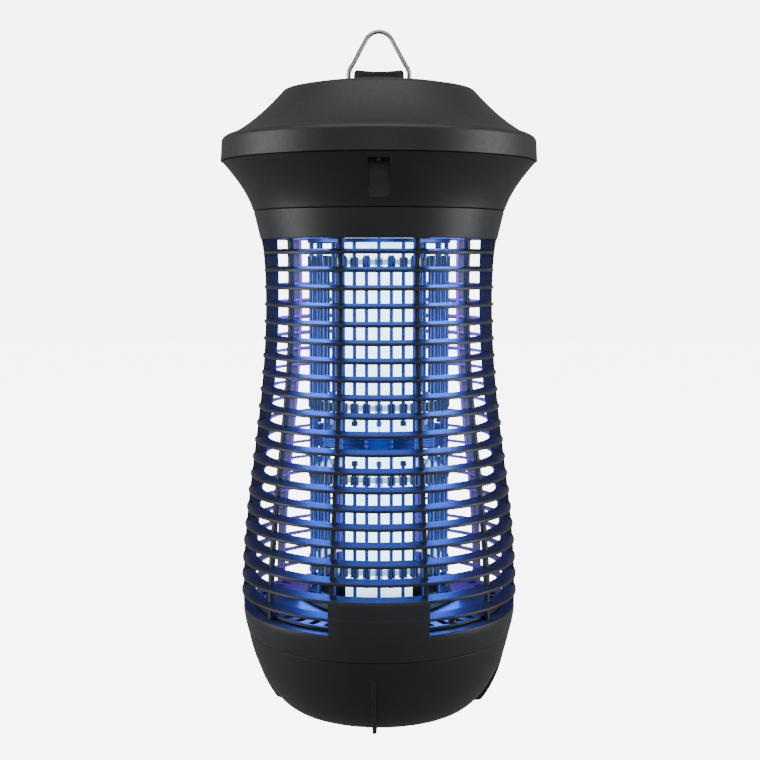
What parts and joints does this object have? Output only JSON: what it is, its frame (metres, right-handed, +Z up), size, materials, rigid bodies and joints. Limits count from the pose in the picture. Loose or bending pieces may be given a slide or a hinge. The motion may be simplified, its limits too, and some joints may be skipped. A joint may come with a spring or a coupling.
{
  "type": "electric bug zapper",
  "caption": "Hanging lantern insect killer: domed roof with a wire bail, ringed cage around a two-tier wire grid and UV tubes, and a footed tray that twists off.",
  "frame": {"origin": "on the lantern's central axis, at the level of the tray's feet", "axes": "+Z up, front panel towards -Y, +X to the right as seen from the front"},
  "size_m": [0.242, 0.242, 0.5237],
  "materials": {
    "black_plastic": "fine satin moulding grain",
    "bail_steel": "satin drawn wire",
    "grid_steel": "drawn wire",
    "insulator": "smooth moulding",
    "uv_glass": "phosphor-coated glass, lit",
    "tube_cap": "satin",
    "zinc_steel": "zinc plated",
    "circuit_board": "solder resist",
    "coil_tape": "polyester tape",
    "capacitor_case": "moulded case",
    "seal_rubber": "matt"
  },
  "bodies": {
    "lantern": {"roof_cap": "black_plastic", "upper_housing": "black_plastic", "cage_front": "black_plastic", "cage_rear": "black_plastic", "drop_grate": "black_plastic", "lower_lamp_cup": "black_plastic", "cord_gland": "black_plastic", "gland_locknut": "black_plastic", "grid_top_electrode": "grid_steel", "grid_middle_electrode": "grid_steel", "grid_bottom_electrode": "grid_steel", "grid_spacer_1": "insulator", "grid_spacer_2": "insulator", "grid_spacer_3": "insulator", "grid_spacer_4": "insulator", "grid_top_insulator": "insulator", "grid_bottom_insulator": "insulator", "lamp_holder_lower_left": "insulator", "lamp_holder_lower_right": "insulator", "lamp_holder_upper_left": "insulator", "lamp_holder_upper_right": "insulator", "terminal_block": "insulator", "uv_tube_left": "uv_glass", "uv_tube_right": "uv_glass", "tube_cap_lower_left": "tube_cap", "tube_cap_lower_right": "tube_cap", "tube_cap_upper_left": "tube_cap", "tube_cap_upper_right": "tube_cap", "lamp_bridge": "zinc_steel", "transformer_core": "zinc_steel", "roof_screw_1": "zinc_steel", "roof_screw_2": "zinc_steel", "roof_screw_3": "zinc_steel", "guard_screw_1": "zinc_steel", "guard_screw_2": "zinc_steel", "guard_screw_3": "zinc_steel", "guard_screw_4": "zinc_steel", "grate_screw_1": "zinc_steel", "grate_screw_2": "zinc_steel", "grate_screw_3": "zinc_steel", "ballast_board": "circuit_board", "transformer_coil_1": "coil_tape", "transformer_coil_2": "coil_tape", "film_capacitor_1": "capacitor_case", "film_capacitor_2": "capacitor_case", "film_capacitor_3": "capacitor_case", "electrolytic_capacitor": "capacitor_case"},
    "bail": {"hanging_bail": "bail_steel"},
    "seal": {"tray_seal": "seal_rubber"},
    "tray": {"collecting_tray": "black_plastic"}
  },
  "joints": [
    {"name": "bail_swing", "type": "hinge", "parent": "lantern", "child": "bail", "pos_m": [0, 0, 0.4844], "axis": [1, 0, 0], "range_deg": [-88, 88]},
    {"name": "tray_twist", "type": "hinge", "parent": "lantern", "child": "seal", "pos_m": [0, 0, 0.0605], "axis": [0, 0, 1], "range_deg": [0, 25]},
    {"name": "tray_drop", "type": "slide", "parent": "seal", "child": "tray", "axis": [0, 0, -1], "range_m": [0, 0.075]}
  ]
}
